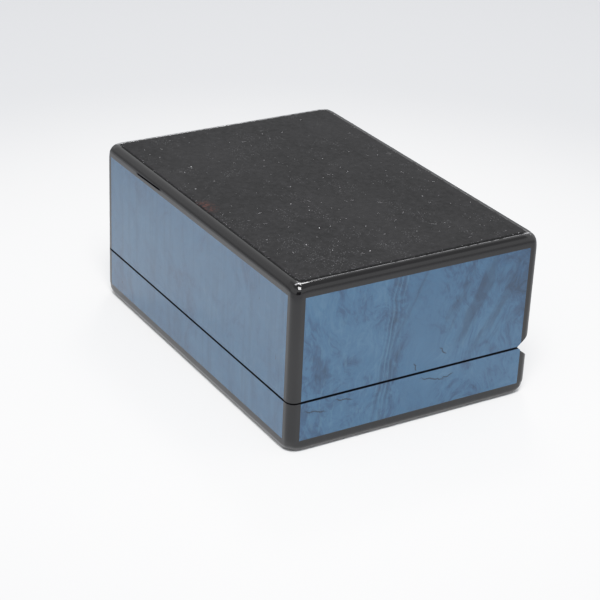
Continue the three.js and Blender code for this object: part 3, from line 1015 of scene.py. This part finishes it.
def knuckle(start, end, down):
    """A rolled knuckle with its neck. Its plate lies below it (down = -1) or above it (1)."""
    neck = KNUCKLE_R + POCKET
    corner = math.atan2(LEAF / 2, neck)
    extra = [corner, corner * 1.8]
    angles = sorted(turns(48) + extra + [2 * math.pi - angle for angle in extra])
    bevel = KNUCKLE_BEVEL
    outer_rings, inner_rings = [], []
    for x, trim in ((start, bevel), (start + bevel, 0), (end - bevel, 0), (end, bevel)):
        outer, inner = [], []
        for angle in angles:
            lean, rise = math.sin(angle), math.cos(angle)
            reach, bore = KNUCKLE_R - trim, BORE_R + trim
            if rise > 0:
                on_neck = angle <= corner or angle >= 2 * math.pi - corner
                reach = max(reach, neck / rise if on_neck else min(LEAF / 2 / abs(lean), neck / rise))
            outer.append(Vector((x, AXIS_Y + reach * lean, AXIS_Z + down * reach * rise)))
            inner.append(Vector((x, AXIS_Y + bore * lean, AXIS_Z + down * bore * rise)))
        outer_rings.append(outer)
        inner_rings.append(inner)
    return loft("knuckle", outer_rings + inner_rings[::-1], closed=True)


def hinge_leaf(side, half):
    """A plate with its knuckles: one in the middle on the lid's leaf, two outer ones on the base's."""
    node = f"hinge_{side}_{half}_leaf"
    low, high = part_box(node)
    down, far_z = (-1, low.z) if half == "lid" else (1, high.z)
    near, far = sorted((AXIS_Z + down * (KNUCKLE_R + POCKET), far_z))
    plate = rounded_box("plate", (low.x, AXIS_Y - LEAF / 2, near), (high.x, AXIS_Y + LEAF / 2, far),
                        0.12 * MM, pitch=2 * MM)
    middle, reach = (low.x + high.x) / 2, KNUCKLE_SPAN / 2
    if half == "lid":
        spans = [(middle - reach, middle + reach)]
    else:
        spans = [(low.x, middle - reach - KNUCKLE_GAP), (middle + reach + KNUCKLE_GAP, high.x)]
    knuckles = [knuckle(start, end, down) for start, end in spans]
    place(join(f"{node}_formed", [plate] + knuckles), half, "brass", node)


def hinge_pin(side):
    """A pin with domed ends."""
    low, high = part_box(f"hinge_{side}_pin")
    dome = [(PIN_DOME * (1 - math.sin(angle)), PIN_R * max(math.sin(angle), 0.08))
            for angle in quarter(6)]
    profile = [(low.x + inset, radius) for inset, radius in dome]
    profile += [(high.x - inset, radius) for inset, radius in reversed(dome)]
    rings = [[Vector((x, AXIS_Y + radius * math.cos(t), AXIS_Z + radius * math.sin(t)))
              for t in turns(32)] for x, radius in profile]
    place(loft(f"hinge_{side}_pin_domed", rings), "lid", "steel_pin", f"hinge_{side}_pin")


# ---- Floor, light and camera ----

def studio_floor():
    """A floor with a painted pool of light: bright near the box, turning light grey further out."""
    g = Material("studio_floor")
    # Painted light: the floor's colour is lighter near the box and darker further out
    far = g.fade(g.vector("LENGTH", g.place, output=1), FLOOR_LIGHT_FALLOFF[1], FLOOR_LIGHT_FALLOFF[0])
    tone = g.mix(far, FLOOR_NEAR_LIT, FLOOR_FAR_DIM)
    corners = [(FLOOR_REACH * x, FLOOR_REACH * y, 0) for x, y in ((-1, -1), (1, -1), (1, 1), (-1, 1))]
    floor = mesh_object("studio_floor", corners, [(0, 1, 2, 3)])
    floor.data.materials.append(g.finish(Base_Color=tone, Roughness=0.7, Specular_IOR_Level=0.1))


def surroundings():
    """A glow that depends on the elevation, dimmer on the left."""
    world = bpy.data.worlds.new("studio")
    bpy.context.scene.world = world
    world.use_nodes = True
    g = Graph(world.node_tree, "Generated")
    x, _, sine = g.axes()
    stops = [(position, tuple(level * tint for tint in SKY_TINT)) for position, level in SKY]
    glow = g.ramp(sine, *stops)
    left = g.scaled(g.fade(x, SKY_LEFT[1], SKY_LEFT[0]), SKY_LEFT_DIM, 1 - SKY_LEFT_DIM)
    g.feed_named(world.node_tree.nodes["Background"], {"Color": glow, "Strength": left})


def roll_off_highlights():
    """Brightness up to about half stays as it is, and the bright floor is eased under white."""
    view = bpy.context.scene.view_settings
    view.view_transform = "Standard"
    view.use_curve_mapping = True
    mapping = view.curve_mapping
    mapping.white_level = (WHITE,) * 3
    curve = mapping.curves[3]
    for brightness, shown in HIGHLIGHTS:
        curve.points.new(brightness / WHITE, shown)
    mapping.update()


def dark_card():
    """The dark room beside the key light. Only glossy surfaces see it, as the shade below a glint."""
    corners = [(x, y, z) for x, y in ((0.68, -0.86), (1.05, -0.27)) for z in (0.02, 0.62)]
    card = mesh_object("dark_card", corners, [(0, 1, 3, 2)])
    g = Material("dark_card")
    card.data.materials.append(g.finish(Base_Color=(0.01, 0.01, 0.01, 1), Roughness=1.0))
    card.visible_camera = card.visible_diffuse = card.visible_shadow = False


def softbox(name, location, side, power):
    """A square light that faces the box."""
    light = bpy.data.lights.new(name, "AREA")
    light.shape = "RECTANGLE"
    light.size = light.size_y = side
    light.energy = power
    obj = bpy.data.objects.new(name, light)
    obj.location = location
    obj.rotation_mode = "QUATERNION"
    obj.rotation_quaternion = (Vector(LIGHT_TARGET) - Vector(location)).to_track_quat("-Z", "Y")
    bpy.context.scene.collection.objects.link(obj)


def camera():
    azimuth, elevation, roll = (math.radians(angle) for angle in CAMERA_ANGLES)
    back = Vector((math.sin(azimuth) * math.cos(elevation), -math.cos(azimuth) * math.cos(elevation),
                   math.sin(elevation)))
    level = Vector((math.cos(azimuth), math.sin(azimuth), 0))
    upright = back.cross(level)
    right = math.cos(roll) * level + math.sin(roll) * upright
    up = back.cross(right)
    data = bpy.data.cameras.new("camera")
    data.lens = CAMERA_LENS
    data.clip_start, data.clip_end = 0.05, 50
    obj = bpy.data.objects.new("camera", data)
    turn = Matrix((right, up, back)).transposed().to_4x4()
    obj.matrix_world = Matrix.Translation(CAMERA_TARGET + CAMERA_DISTANCE * back) @ turn
    bpy.context.scene.collection.objects.link(obj)
    bpy.context.scene.camera = obj


# ---- Build ----

dress_cad_nodes()
build_beads()
felt_pad()
felt_lint()
covered_cards()
lid_cushion()
ring_rolls()
pillow()
for side in ("left", "right"):
    hinge_leaf(side, "lid")
    hinge_leaf(side, "base")
    hinge_pin(side)
studio_floor()
surroundings()
roll_off_highlights()
softbox("key", (0.62, -0.39, 1.20), 0.54, 22)
dark_card()
softbox("rim", (-0.62, 0.42, 0.95), 0.22, 3)
camera()

bpy.context.view_layer.update()
